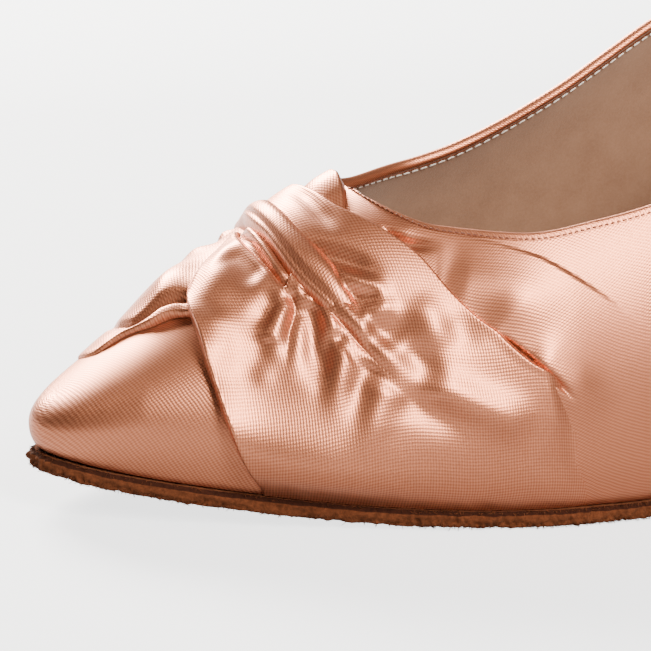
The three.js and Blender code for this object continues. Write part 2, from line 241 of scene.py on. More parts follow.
def grid_faces(rows, columns, offset=0, flip=False, ring=False):
    i, j = np.meshgrid(np.arange(rows - 1), np.arange(columns if ring else columns - 1), indexing="ij")
    k = (j + 1) % columns
    quads = np.stack([i * columns + j, (i + 1) * columns + j, (i + 1) * columns + k, i * columns + k], -1)
    quads = quads.reshape(-1, 4) + offset
    return quads[:, ::-1] if flip else quads


ROWS_ALONG = np.linspace(0.5, SHOE_LENGTH - 0.5, 240)
ROWS_ACROSS = np.linspace(-100, 100, 201)


def girth_table():
    """How far round the last each place lies from the ridge, in millimetres."""
    along, across = np.meshgrid(ROWS_ALONG, ROWS_ACROSS, indexing="ij")
    step = np.linalg.norm(np.diff(vamp_point(along, across), axis=1), axis=-1)
    run = np.concatenate([np.zeros((len(ROWS_ALONG), 1)), np.cumsum(step, axis=1)], axis=1)
    return run - run[:, 100:101]


GIRTH = girth_table()
# The vamp slopes, so the cloth is longer than the shoe is along its length
CLOTH_PER_LENGTH = 1.08
CLOTH_START = 100


def girth_at(along, across):
    """The girth table read between its rows."""
    i = np.clip((along - ROWS_ALONG[0]) / (ROWS_ALONG[1] - ROWS_ALONG[0]), 0, len(ROWS_ALONG) - 1.001)
    j = np.clip(across - ROWS_ACROSS[0], 0, len(ROWS_ACROSS) - 1.001)
    i0, j0 = i.astype(int), j.astype(int)
    u, v = i - i0, j - j0
    return ((1 - u) * (1 - v) * GIRTH[i0, j0] + u * (1 - v) * GIRTH[i0 + 1, j0]
            + (1 - u) * v * GIRTH[i0, j0 + 1] + u * v * GIRTH[i0 + 1, j0 + 1])


def turned(x, y, degrees):
    """Places on the flat cloth, turned by an angle."""
    c, s = math.cos(math.radians(degrees)), math.sin(math.radians(degrees))
    return np.stack([c * x + s * y, -s * x + c * y, 0 * x], -1)


def cloth_at(along, across, degrees):
    """Where each place of the shoe lies on the flat cloth, in millimetres."""
    along, across = np.broadcast_arrays(np.asarray(along, float), np.asarray(across, float))
    return turned((along - CLOTH_START) * CLOTH_PER_LENGTH, girth_at(along, across), degrees)


def sheet_piece(name, points, material, cloth=None, flip=False):
    """A mesh object from a grid of points."""
    cloth = None if cloth is None else cloth.reshape(-1, 3)
    faces = grid_faces(*points.shape[:2], flip=flip)
    return make_piece(name, points.reshape(-1, 3), faces, material, cloth)


# Folds: soft ridges, troughs and steps laid on the vamp
def near_line(places, corners):
    """Distance to a line on the vamp, which side of it, and how far along it, for many points."""
    line = path_points(corners, 48)
    spots = vamp_point(line[:, 0], line[:, 1])
    normals = vamp_normal(line[:, 0], line[:, 1])
    tangents = unit(np.gradient(spots, axis=0))
    sideways = np.cross(normals, tangents)
    flat = places.reshape(-1, 3)
    nearest = np.empty(len(flat), int)
    # In blocks, to hold down the memory it takes
    for start in range(0, len(flat), 20000):
        block = flat[start:start + 20000]
        nearest[start:start + 20000] = ((block[:, None] - spots[None]) ** 2).sum(-1).argmin(1)
    away = flat - spots[nearest]
    shift = (away * tangents[nearest]).sum(-1)
    span = np.linalg.norm(np.diff(spots, axis=0), axis=-1).mean()
    inside = (nearest > 0) & (nearest < len(spots) - 1)
    away = away - np.where(inside, shift, 0)[:, None] * tangents[nearest]
    side = (away * sideways[nearest]).sum(-1)
    share = np.clip((nearest + shift / span) / (len(spots) - 1), 0, 1)
    shape = places.shape[:-1]
    return np.linalg.norm(away, axis=-1).reshape(shape), side.reshape(shape), share.reshape(shape)


def faded(share, start, end):
    """1 along a line, falling to 0 over a share of it at each end; a share of 0 leaves that end full."""
    rise = smoothstep(0, start, share) if start else 1
    return rise * (smoothstep(0, end, 1 - share) if end else 1)


def softened(height, times):
    """Evens out a grid of heights, a little more each time."""
    for _ in range(times):
        for axis in (0, 1):
            h = np.moveaxis(height, axis, 0)
            h = np.concatenate([h[:1], (h[:-2] + 2 * h[1:-1] + h[2:]) / 4, h[-1:]])
            height = np.moveaxis(h, 0, axis)
    return height


def fold(places, corners, height, breadth, start, end, sharp=False):
    """A ridge, or a trough where the height is negative; a sharp one comes to an edge."""
    distance, _, share = near_line(places, corners)
    fall = np.exp(-distance / breadth) if sharp else np.exp(-((distance / breadth) ** 2))
    return height * fall * faded(share, start, end)


def with_folds(height, places, rows):
    """A grid of heights with a table of folds laid on it."""
    for row in rows:
        height = height + fold(places, *row)
    return height


def mound(along, across, place, reach):
    """A soft round rise, 1 at its place and falling off over its reach along and across."""
    return np.exp(-(((along - place[0]) / reach[0]) ** 2) - ((across - place[1]) / reach[1]) ** 2)


def edge_round(distance, radius):
    """Height of a rounded edge, from 0 at the edge to 1 at a radius inside it."""
    s = np.clip(distance / radius, 0, 1)
    return np.sqrt(np.clip(1 - (1 - s) ** 2, 0, 1))


# Node helpers
def new_material(name):
    material = bpy.data.materials.new(name)
    material.use_nodes = True
    tree = material.node_tree
    return material, tree, tree.nodes["Principled BSDF"]


def set_inputs(node, **values):
    """Constants for a node's sockets; an underscore stands for a space in a socket's name."""
    for label, value in values.items():
        node.inputs[label.replace("_", " ")].default_value = value


def feed(tree, socket, value):
    """Gives a socket a constant or a link."""
    if isinstance(value, (int, float, tuple)):
        socket.default_value = value
    else:
        tree.links.new(value, socket)


def math_node(tree, operation, *values):
    node = tree.nodes.new("ShaderNodeMath")
    node.operation = operation
    for socket, value in zip(node.inputs, values):
        feed(tree, socket, value)
    return node.outputs[0]


def mix_colour(tree, share, first, second):
    node = tree.nodes.new("ShaderNodeMix")
    node.data_type = "RGBA"
    for place, value in ((0, share), (6, first), (7, second)):
        feed(tree, node.inputs[place], value)
    return node.outputs[2]


def noise_node(tree, places, **values):
    node = tree.nodes.new("ShaderNodeTexNoise")
    tree.links.new(places, node.inputs["Vector"])
    set_inputs(node, **values)
    return node


def object_places(tree):
    """The shoe's own space, in metres."""
    return tree.nodes.new("ShaderNodeTexCoord").outputs["Object"]


def bumped(tree, shader, height, strength, depth):
    """Turns a height into the shader's normal; the depth is in millimetres."""
    bump = tree.nodes.new("ShaderNodeBump")
    set_inputs(bump, Strength=strength, Distance=depth * MM)
    tree.links.new(height, bump.inputs["Height"])
    tree.links.new(bump.outputs["Normal"], shader.inputs["Normal"])


def new_group(name, inputs, outputs):
    group = bpy.data.node_groups.new(name, "ShaderNodeTree")
    for label, value in inputs.items():
        socket = group.interface.new_socket(label, in_out="INPUT", socket_type="NodeSocketFloat")
        socket.default_value = value
    for label in outputs:
        group.interface.new_socket(label, in_out="OUTPUT", socket_type="NodeSocketFloat")
    return group, group.nodes.new("NodeGroupInput"), group.nodes.new("NodeGroupOutput")


def weave_group():
    """Satin floats: ribs of short threads in slanting rows, with painted sheen on the float crests and
    painted shade between them. Height and the painted light run from 0 to 1.
    """
    sizes = {"Rib pitch": 0.5, "Float length": 0.6, "Slant": 0.6, "Wander": 0.25}
    group, given, result = new_group("satin weave", sizes, ["Height", "Light"])
    places = group.nodes.new("ShaderNodeAttribute")
    places.attribute_name = "cloth"
    spot = places.outputs["Vector"]
    wander = noise_node(group, spot, Scale=0.35, Detail=1.0).outputs["Fac"]
    split = group.nodes.new("ShaderNodeSeparateXYZ")
    group.links.new(spot, split.inputs[0])
    sway = math_node(group, "MULTIPLY", math_node(group, "SUBTRACT", wander, 0.5), given.outputs["Wander"])
    across = math_node(group, "ADD", split.outputs["X"], sway)
    slanted = math_node(group, "MULTIPLY_ADD", across, given.outputs["Slant"], split.outputs["Y"])
    height = 0.5
    for run, size, share in ((across, "Rib pitch", 0.24), (slanted, "Float length", 0.22)):
        count = math_node(group, "DIVIDE", run, given.outputs[size])
        wave = math_node(group, "COSINE", math_node(group, "MULTIPLY", count, 2 * math.pi))
        height = math_node(group, "MULTIPLY_ADD", wave, share, height)
    threads = noise_node(group, spot, Scale=1.4, Detail=2.0).outputs["Fac"]
    # Painted light on the floats: lighter on their crests as painted sheen, darker between them as painted
    # shade, plus a random thread tone
    light = math_node(group, "MULTIPLY_ADD", threads, 0.3, math_node(group, "SUBTRACT", height, 0.15))
    group.links.new(height, result.inputs["Height"])
    group.links.new(light, result.inputs["Light"])
    return group


def nap_group():
    """Brushed fibres: fine speckle and soft cloudy patches, in the shoe's own space."""
    sizes = {"Fibre size": 0.6, "Patch size": 7.0}
    group, given, result = new_group("brushed nap", sizes, ["Speckle", "Patches"])
    spot = object_places(group)
    looks = (("Speckle", "Fibre size", 4.0, 0.7), ("Patches", "Patch size", 3.0, 0.55))
    for label, size, detail, rough in looks:
        noise = noise_node(group, spot, Detail=detail, Roughness=rough)
        group.links.new(math_node(group, "DIVIDE", 1 / MM, given.outputs[size]), noise.inputs["Scale"])
        group.links.new(noise.outputs["Fac"], result.inputs[label])
    return group


def place_group(tree, group, **values):
    node = tree.nodes.new("ShaderNodeGroup")
    node.node_tree = group
    set_inputs(node, **values)
    return node


# Weave: lengths in millimetres, the slant as a slope
RIB_PITCH = 0.5
FLOAT_LENGTH = 0.62
FLOAT_SLANT = 0.62
RIB_WANDER = 0.25
# How the threads of each panel lie, in degrees
CAP_GRAIN = 26
QUARTER_GRAIN = 52
OUTER_DRAPE_GRAIN = 4
INNER_DRAPE_GRAIN = -30
ROLL_GRAIN = 8

# Materials
# The satin's own colour, a lighter copy as painted sheen and a darker copy as painted shade for the weave's
# floats, and the share of that painted light in the colour
PEACH = (0.51, 0.172, 0.09, 1)
PEACH_PAINTED_SHEEN = (0.76, 0.31, 0.175, 1)
PEACH_PAINTED_SHADE = (0.28, 0.076, 0.034, 1)
THREAD_SHARE = 0.6
WEAVE_DEPTH = 0.034
LINING_DARK = (0.15, 0.071, 0.039, 1)
LINING_MIDDLE = (0.25, 0.137, 0.083, 1)
LINING_LIGHT = (0.31, 0.18, 0.116, 1)


def satin(name, weave):
    material, tree, shader = new_material(name)
    threads = place_group(tree, weave, Rib_pitch=RIB_PITCH, Float_length=FLOAT_LENGTH, Slant=FLOAT_SLANT,
                          Wander=RIB_WANDER)
    # Painted sheen on the float crests and painted shade between them, mixed into the satin's colour
    shade = mix_colour(tree, threads.outputs["Light"], PEACH_PAINTED_SHADE, PEACH_PAINTED_SHEEN)
    feed(tree, shader.inputs["Base Color"], mix_colour(tree, THREAD_SHARE, PEACH, shade))
    bumped(tree, shader, threads.outputs["Height"], 1.0, WEAVE_DEPTH)
    set_inputs(shader, Metallic=0.85, Roughness=0.38, Specular_IOR_Level=0.4)
    return material


def suede_lining(nap):
    material, tree, shader = new_material("lining suede")
    fibres = place_group(tree, nap, Fibre_size=0.5, Patch_size=6.0)
    base = mix_colour(tree, fibres.outputs["Patches"], LINING_DARK, LINING_MIDDLE)
    speck = math_node(tree, "MULTIPLY_ADD", fibres.outputs["Speckle"], 1.6, -0.45)
    colour = mix_colour(tree, speck, base, LINING_LIGHT)
    feed(tree, shader.inputs["Base Color"], mix_colour(tree, 0.45, base, colour))
    bumped(tree, shader, fibres.outputs["Speckle"], 0.5, 0.12)
    set_inputs(shader, Roughness=0.95, Specular_IOR_Level=0.15, Sheen_Weight=0.35, Sheen_Roughness=0.6,
               Sheen_Tint=(0.9, 0.75, 0.66, 1))
    return material


def sole_suede(nap, name, dark, light):
    material, tree, shader = new_material(name)
    fibres = place_group(tree, nap, Fibre_size=0.9, Patch_size=3.5)
    speck = math_node(tree, "MULTIPLY_ADD", fibres.outputs["Speckle"], 2.2, -0.6)
    colour = mix_colour(tree, speck, dark, light)
    shade = mix_colour(tree, fibres.outputs["Patches"], dark, light)
    feed(tree, shader.inputs["Base Color"], mix_colour(tree, 0.4, colour, shade))
    bumped(tree, shader, fibres.outputs["Speckle"], 0.9, 0.35)
    set_inputs(shader, Roughness=1.0, Specular_IOR_Level=0.1, Sheen_Weight=0.12,
               Sheen_Tint=(0.6, 0.25, 0.12, 1))
    return material


def plain_thread(name, colour):
    material, tree, shader = new_material(name)
    twist = noise_node(tree, object_places(tree), Scale=4000).outputs["Fac"]
    dark = tuple(0.6 * c for c in colour[:3]) + (1,)
    feed(tree, shader.inputs["Base Color"], mix_colour(tree, twist, dark, colour))
    set_inputs(shader, Roughness=0.55)
    return material


def tip_rubber(nap):
    material, tree, shader = new_material("heel tip rubber")
    grain = place_group(tree, nap, Fibre_size=1.2, Patch_size=5.0)
    colour = mix_colour(tree, grain.outputs["Patches"], (0.05, 0.028, 0.018, 1), (0.10, 0.058, 0.038, 1))
    feed(tree, shader.inputs["Base Color"], colour)
    bumped(tree, shader, grain.outputs["Speckle"], 0.3, 0.1)
    set_inputs(shader, Roughness=0.6)
    return material


WEAVE = weave_group()
NAP = nap_group()
SATIN = satin("satin", WEAVE)
SATIN_HEEL = satin("satin over the heel", WEAVE)
LINING = suede_lining(NAP)
SOLE_EDGE = sole_suede(NAP, "sole suede", (0.022, 0.007, 0.003, 1), (0.15, 0.046, 0.019, 1))
# A nearly black colour for the top of the sole's edge, just under the upper
SOLE_TOP_BAND = sole_suede(NAP, "sole edge top band", (0.010, 0.003, 0.002, 1), (0.040, 0.012, 0.006, 1))
# The outer stitches are coloured near black: painted shade of the stitch holes, darker than the thread
# itself
STITCH_PAINTED_SHADE = plain_thread("stitch hole painted shade", (0.20, 0.055, 0.026, 1))
LINING_THREAD = plain_thread("pale thread", (0.80, 0.72, 0.66, 1))
TIP = tip_rubber(NAP)


# Toe cap: the plain front of the upper
def toe_cap():
    stations = VAMP_LENGTH * (1 - np.cos(np.linspace(0, math.pi / 2, 110)))
    along, across = np.meshgrid(stations, 100 * np.linspace(-1, 1, 221), indexing="ij")
    cloth = cloth_at(along, across, CAP_GRAIN)
    return sheet_piece("toe_cap", vamp_point(along, across), SATIN, cloth)


# Quarters: the sides behind the throat, with the under band of the drape laid in the outer one
BAND_TOP = [(60.5, -23), (63.5, -26), (69.5, -28), (75.5, -34), (80.5, -39), (84, -42), (90, -48),
            (96, -54), (102, -60)]
BAND_RAISE = 0.5
# Each row: corners, height, breadth, fade-in share, fade-out share
BAND_HOLLOWS = [
    ([(60, -23.6), (61.5, -26), (63.2, -28.2), (65.8, -30), (69.5, -32.5)], -1.5, 1.1, 0.1, 0.6),
    ([(62, -26), (65, -34), (68.5, -43), (72.5, -50), (75, -54)], -0.8, 7.0, 0.2, 0.3),
    ([(75, -54.4), (78.1, -57.9), (81.3, -61.5), (85, -65.5), (88.3, -69.3)], -1.1, 0.45, 0.15, 0.3),
]
DEEPEST_HOLLOW = -1.6
BAND_SWELLS = [
    ([(67, -32), (73, -36.5), (78, -40), (83, -44.5), (89, -51)], -0.3, 4.0, 0.2, 0.45),
    ([(67, -41), (73, -45), (80, -49), (87, -54.5)], 0.9, 5.0, 0.25, 0.45),
    ([(79, -59), (84, -63.5), (89.5, -68), (95, -73)], 1.1, 4.5, 0.25, 0.5),
]


def band_relief(points):
    """Height of the under band and of the hollows beside it, in millimetres."""
    _, off, share = near_line(points, BAND_TOP)
    below = np.clip(-off, 0, None)
    raised = BAND_RAISE * (0.1 + 0.9 * edge_round(below, 0.7)) * (1 - smoothstep(8, 34, below))
    along_band = (1 - smoothstep(0.7, 1.0, share)) * smoothstep(0.05, 0.42, share)
    relief = with_folds(np.where(off < 0, raised, 0) * along_band, points, BAND_HOLLOWS)
    return with_folds(np.maximum(relief, DEEPEST_HOLLOW), points, BAND_SWELLS)


def outward_normals(points, side):
    """Grid normals that point away from the middle of the shoe."""
    normals = grid_normals(points)
    return normals * np.sign((normals[..., 1] * side).mean())


def quarter(side):
    """One side of the shoe behind the throat; the outer one carries the under band of the drape."""
    joint = np.linspace(0, 1, 12)[:-1] ** 2 * 4 + VAMP_LENGTH
    back = SHOE_LENGTH - 0.001
    if side == OUTER:
        stations = np.r_[joint, np.linspace(64, 112, 140)[:-1], np.linspace(112, back, 100)]
    else:
        stations = np.r_[joint, np.linspace(64, back, 150)]
    ups = np.linspace(0, 1, 160)
    along = stations[:, None]
    up = topline_up(stations, side)[:, None] * ups[None]
    points = last_point(along, up, side)
    if side == OUTER:
        # The flat outline stays where the joining edges are
        inside = smoothstep(60, 61, along) * smoothstep(0.01, 0.09, 1 - ups)[None]
        points = points + outward_normals(points, side) * (band_relief(points) * inside)[..., None]
    name = "outer_quarter" if side == OUTER else "inner_quarter"
    cloth = cloth_at(along, side * 100 * (1 - up), -side * QUARTER_GRAIN)
    return sheet_piece(name, points, SATIN, cloth, flip=side == OUTER)


def topline_path(count=700):
    """Points, outward normals and downward directions round the topline, from throat to throat."""
    s = np.linspace(0, 1, count)
    rows = []
    for side in (OUTER, INNER):
        along = VAMP_LENGTH + (SHOE_LENGTH - VAMP_LENGTH) * (1 - np.cos(s * math.pi)) / 2
        up = topline_up(along, side)
        here = last_point(along, up, side)
        down = unit(last_point(along, up - 0.01, side) - here)
        normal = unit(np.cross(np.gradient(here, axis=0), down)) * side
        rows.append((here, normal, down))
    return [np.concatenate([outer, inner[::-1][1:-1]]) for outer, inner in zip(*rows)]


def even_loop(values, step):
    """The loop at an even spacing in millimetres."""
    closed = [np.concatenate([v, v[:1]]) for v in values]
    length = np.r_[0, np.cumsum(np.linalg.norm(np.diff(closed[0], axis=0), axis=-1))]
    count = int(round(length[-1] / step))
    t = np.linspace(0, length[-1], count + 1)[:-1]
    return [np.stack([np.interp(t, length, v[:, k]) for k in range(3)], -1) for v in closed]


def topline_edge(loop):
    """The satin turned over the top of the wall."""
    here, normal, down = loop
    normal = unit(normal)
    radius = WALL / 2 + 0.12
    centre = here - normal * WALL / 2 + down * 0.35
    ring = [centre + normal * radius * math.cos(turn) - down * radius * 0.8 * math.sin(turn)
            for turn in np.linspace(-0.15, math.pi + 0.15, 14)]
    outside = centre + normal * radius + down * 1.1
    inside = centre - normal * radius + down * 1.1
    profile = np.stack([outside] + ring + [inside], 1)
    rows, count = profile.shape[:2]
    closing = grid_faces(2, count, flip=True)
    closing = np.where(closing >= count, closing - count, closing + (rows - 1) * count)
    faces = np.concatenate([grid_faces(rows, count, flip=True), closing])
    cloth = np.zeros(profile.shape)
    run = np.r_[0, np.cumsum(np.linalg.norm(np.diff(here, axis=0), axis=-1))]
    cloth[..., 0] = run[:, None] + np.arange(count)[None] * 0.2
    cloth[..., 1] = np.arange(count)[None] * 0.35
    return make_piece("topline_edge", profile.reshape(-1, 3), faces, SATIN, cloth.reshape(-1, 3))


def lining():
    """The suede lining, a skin inside the wall on both sides and under the vamp."""
    for side in (OUTER, INNER):
        front = VAMP_LENGTH * (1 - np.cos(np.linspace(0.06, math.pi / 2, 40)))
        rear = VAMP_LENGTH + (SHOE_LENGTH - VAMP_LENGTH) * (1 - np.cos(np.linspace(0, math.pi, 130))) / 2
        stations = np.r_[front, rear[1:]]
        stations[-1] = SHOE_LENGTH - 1e-3
        ups = np.linspace(0.02, 1, 60)
        along = stations[:, None]
        points = last_point(along, topline_up(stations, side)[:, None] * ups[None], side)
        points = points - outward_normals(points, side) * (WALL - 0.05)
        # Its upper edge ends a little below the turned satin
        points[..., 2] -= 0.54 * smoothstep(0.97, 1.0, ups)[None] * (along > VAMP_LENGTH)
        points[..., 1] = np.where(np.abs(points[..., 1]) < 0.2, 0.0, points[..., 1])
        name = "lining_outer" if side == OUTER else "lining_inner"
        sheet_piece(name, points, LINING, flip=side == INNER)


def stitch_row(name, loop, material, depth, offset, pitch, length, radius):
    """One mesh of short thread stitches along the topline, depth below it."""
    here, normal, down = even_loop(loop, pitch)
    ahead = unit(np.roll(here, -1, axis=0) - np.roll(here, 1, axis=0))
    points = []
    faces = []
    turns = np.linspace(0, 2 * math.pi, 9)[:-1]
    stops = np.array([-1, -0.86, -0.5, 0, 0.5, 0.86, 1]) * length / 2
    widths = np.sqrt(np.clip(1 - (stops / (length / 2)) ** 4, 0.02, 1)) * radius
    for i in range(len(here)):
        centre = here[i] + down[i] * depth + normal[i] * offset
        faces.extend(grid_faces(len(stops), len(turns), len(points), ring=True).tolist())
        for stop, width in zip(stops, widths):
            sink = -0.35 * radius * (abs(stop) / (length / 2)) ** 2
            for turn in turns:
                points.append(centre + ahead[i] * stop + down[i] * width * math.cos(turn)
                              + normal[i] * (width * math.sin(turn) * 0.8 + sink))
    return make_piece(name, np.array(points), faces, material)


# Drape: its lines and folds are given as (distance from the toe, across)
# The edges of the outer drape, rows of (across, distance from the toe)
OUTER_FRONT = [(-100, 35.5), (-94, 34.5), (-77, 30), (-59, 27.3), (-40, 26), (-22, 26), (-6, 27.5),
               (10, 30.5), (24, 36), (36, 44)]
OUTER_REAR = [(-100, 92), (-90, 91), (-84, 89.8), (-77, 88.3), (-73.5, 88.4), (-70, 89.6), (-68, 88.4),
              (-64, 84.9), (-61, 80.9), (-56, 76.8), (-54, 75.6), (-50, 72.5), (-43, 68.5), (-34, 65),
              (-26, 61), (-18, 57.5), (-12, 55.8), (-3, 55), (10, 54.5), (24, 52), (36, 50)]
# Lines of the twist
FOLD_EDGE = [(45.5, 20), (44, 14), (41.5, 2), (41, -8), (41.5, -18), (42, -24), (43.2, -28)]
FINGER = [(44.5, 12), (43.6, 2), (43.2, -6), (43, -12), (42.9, -18), (43.2, -23), (43.8, -28)]
ROLL_MIDDLE = [(62, 60), (56, 49), (51.5, 39), (49.5, 28), (48, 15), (46.8, 4), (46.4, -4), (46.3, -12),
               (46.6, -20), (47.2, -26), (48.6, -33), (50.4, -40), (52.2, -46)]
ROLL_CREASE = [(44.6, -29.5), (46, -33.5), (48, -39), (49.9, -45), (52, -51), (54.8, -56.5), (57.5, -61)]
PINCH_CREASE = [(43.1, -28.4), (43.1, -33), (42.2, -37), (41, -41), (40, -47), (39, -55)]
# Rows of (share of the roll's length, half width or height)
ROLL_WIDTHS = [(0, 0.8), (0.15, 2.4), (0.3, 3.4), (0.55, 3.4), (0.68, 3.8), (0.78, 4.0), (0.88, 3.0),
               (1, 1.8)]
ROLL_HEIGHTS = [(0, 0.2), (0.24, 1.2), (0.55, 1.2), (0.72, 1.3), (0.84, 1.0), (0.93, 0.5), (1, 0.1)]
# How deep the cloth steps down behind the folded edge, and under the roll
FOLD_STEP = 1.5
ROLL_BED = 1.3

# Each row: corners, height, breadth, fade-in share, fade-out share
FRONT_FOLDS = [
    # Ridge left of the cup
    ([(41, 4), (39.5, -2), (36.5, -6), (33.5, -13), (31, -20), (29.5, -30)], 0.7, 3.0, 0.3, 0.5),
    # Cup under the fold
    ([(36.8, -2), (38, -8), (38.6, -16), (40.2, -23)], -1.1, 3.0, 0.35, 0.3),
    # First pleat valley
    ([(42.0, -29.2), (39.3, -31.5), (37, -34.5), (35, -39)], -1.0, 2.0, 0.3, 0.5),
    # First pleat
    ([(42.4, -30), (40.2, -35), (38.2, -40), (36.7, -46), (35.5, -53), (34.5, -61)], 0.9, 1.9, 0.2, 0.45),
    # Wide front swell
    ([(31, -22), (29.4, -32), (28.8, -42), (29, -54)], 0.8, 3.6, 0.3, 0.45),
    # Front swell valley
    ([(37.6, -40), (36.4, -46), (35.6, -55)], -0.9, 2.0, 0.3, 0.5),
    # Pinch crease
    (PINCH_CREASE, -0.9, 1.2, 0.08, 0.5),
    # Second pleat valley
    ([(44.2, -32), (45.1, -37), (45, -43), (44.7, -48), (44, -54), (43.2, -61)], -1.9, 2.4, 0.2, 0.4),
    # Second pleat rim
    ([(45, -31), (46.5, -34), (48, -39), (47.6, -44.5), (46, -50), (44.4, -56)], 0.9, 1.5, 0.15, 0.4),
    # Third pleat valley
    ([(50.2, -49), (48.4, -47.6), (46.9, -49), (45.8, -53), (44.6, -59), (43.4, -67)], -0.9, 1.4, 0.15, 0.5),
    # Third pleat
    ([(50, -51.5), (48.8, -52), (48, -56), (47, -63), (46, -72)], 0.9, 2.3, 0.2, 0.5),
    # Fourth pleat valley
    ([(53.8, -55.5), (52, -58.5), (50.5, -64), (49, -72)], -0.9, 2.2, 0.2, 0.5),
    # Fourth pleat
    ([(56, -60), (54, -64), (52.5, -71), (51, -79)], 0.9, 3.0, 0.25, 0.5),
    # Tail valley
    ([(57.5, -62), (61, -66), (66, -69), (72.5, -72.5)], -0.9, 2.8, 0.25, 0.5),
]
BACK_FOLDS = [
    # Roll tail
    ([(48.8, -33), (50, -39), (51.6, -45), (53.8, -50.5), (56.6, -56), (60, -61)], 1.1, 1.9, 0.1, 0.35),
    # Above the roll tail
    ([(51.4, -29), (52, -37), (53.6, -43.5), (56, -49.5), (59, -55.5)], -0.6, 1.3, 0.15, 0.5),
    # Hollow by the roll
    ([(53, 8), (52.8, -2), (52.8, -10), (53.2, -17), (53.6, -23)], -0.9, 1.7, 0.3, 0.4),
    # Pocket
    ([(49, -23.5), (51.5, -27), (53.6, -30.5), (55.5, -34), (58, -38)], -1.4, 1.9, 0, 0.5),
    # Beak upper rim
    ([(51.2, -32), (53, -35), (54.8, -37.4), (56.8, -39.6), (59, -42)], 0.9, 1.7, 0.1, 0.4),
    # Beak valley
    ([(51.6, -37.6), (53.5, -39), (55.6, -40.5), (57, -41.2)], -0.8, 1.3, 0.1, 0.5),
    # Beak lower rim
    ([(53, -43.6), (54.8, -44.6), (57, -44), (59.5, -42.3)], 0.9, 1.6, 0.1, 0.4),
    # Hollow under the beak
    ([(52.5, -48), (55.3, -50.5), (58.8, -49), (61.2, -45)], -1.0, 2.4, 0.2, 0.5),
    # Back swell
    ([(62.5, -42), (64, -49), (65.5, -56)], 0.8, 2.8, 0.4, 0.4),
    # Back hollow
    ([(58.8, -52), (61.8, -57.5), (65.2, -63)], -0.9, 2.4, 0.3, 0.4),
    # Rear hollow
    ([(67.5, -47), (70.5, -57)], -0.5, 2.8, 0.4, 0.4),
    # Tail ridge
    ([(60, -59.5), (67, -64.5), (75, -69), (81.5, -72.5)], 1.4, 3.4, 0.25, 0.35),
]
# Sharp creases, laid when the rest has been softened
CREASES = [
    (ROLL_CREASE, -1.2, 0.9, 0.12, 0.45, True),
    (PINCH_CREASE, -0.5, 0.7, 0.12, 0.6, True),
]
# Broad rises of the outer drape: place, reach, height
OUTER_MOUNDS = [
    ((49, -3), (14, 30), 3.4), ((45, -81), (17, 14), 3.0),
    ((32, -8), (8, 18), 2.2), ((33, -50), (8, 14), -1.2),
]

outer_front = smooth_curve(sorted(OUTER_FRONT))
outer_rear = smooth_curve(sorted(OUTER_REAR))


def outer_swell(along, across):
    """The broad shape of the outer drape: how high it stands over the upper without its folds."""
    height = 1.5
    for place, reach, rise in OUTER_MOUNDS:
        height = height + rise * mound(along, across, place, reach)
    front_edge = smoothstep(-92, -66, across) * (1 - smoothstep(-24, -6, across))
    height += 2.3 * front_edge * np.exp(-np.clip(along - outer_front(across), 0, None) / 6.5)
    return height * (1 - 0.85 * smoothstep(-84, -100, across))


def tuck_line(along):
    """How far over the ridge the outer drape shows before it runs under the inner one."""
    return 22 - 0.06 * (along - 47) ** 2


def inner_swell(along, across):
    """The broad shape of the inner drape."""
    edge = tuck_line(along)
    far = smoothstep(edge - 8, edge + 14, across)
    low_front = 1.0 * (1 - smoothstep(17, 28, along))
    return 1.3 - low_front + 3.0 * far * mound(along, across, (40, 14), (20, 36))


def outer_height(points, along, across):
    """Height of the outer drape over the upper, before its edges are turned under."""
    height = with_folds(outer_swell(along, across), points, FRONT_FOLDS + BACK_FOLDS)
    return with_folds(softened(height, 8), points, CREASES)


def outer_drape():
    share = np.linspace(0, 1, 260)
    a = np.linspace(-100, 36, 350)[:, None]
    along = outer_front(a) + (outer_rear(a) - outer_front(a)) * share[None]
    base = vamp_point(along, a)
    height = outer_height(base, along, a)
    # Folded upper edge of the front lobe: full height in front of the line, low behind it
    _, off, share_on = near_line(base, FOLD_EDGE)
    on_edge = faded(share_on, 0.0, 0.08)
    behind = height - FOLD_STEP * (1 - smoothstep(3.0, 6.5, off))
    before = height - FOLD_STEP * (0.85 - 0.85 * edge_round(np.clip(-off, 0, None), 1.3))
    height = height * (1 - on_edge) + on_edge * np.where(off > 0, behind, before)
    height += fold(base, FINGER, 1.1, 1.1, 0.15, 0.2)
    # The roll's bed: the cloth runs under it
    distance, _, place = near_line(base, ROLL_MIDDLE)
    wide = smooth_curve(ROLL_WIDTHS)(place)
    height -= ROLL_BED * (1 - smoothstep(0.4, 0.8, distance / wide)) * faded(place, 0.0, 0.2)
    width = np.linalg.norm(base[:, -1] - base[:, 0], axis=-1)[:, None]
    from_rear = (1 - share[None]) * width
    height = height * (0.1 + 0.9 * edge_round(share[None] * width, 0.9))
    thin = smoothstep(-66, -76, a) * (1 - smoothstep(0, 9, from_rear))
    lift = 0.15 * faded((a + 76) / 30, 0.4, 0.4) * (1 - smoothstep(0, 3, from_rear))
    height = (height * (1 - 0.72 * thin) + lift) * (0.12 + 0.88 * edge_round(from_rear, 1.0))
    edge = tuck_line(along)
    height *= 1 - 0.97 * smoothstep(edge - 12, edge + 6, a)
    # The rear edge turns down into the hollow beside it
    turned_down = smoothstep(-24, -30, a) * (1 - smoothstep(-50, -57, a)) * (1 - edge_round(from_rear, 0.8))
    height = np.maximum(height, 0.05) - 1.1 * turned_down
    points = base + vamp_normal(along, a) * height[..., None]
    cloth = cloth_at(along, a, OUTER_DRAPE_GRAIN)
    return sheet_piece("drape_outer_cloth", points, SATIN, cloth)


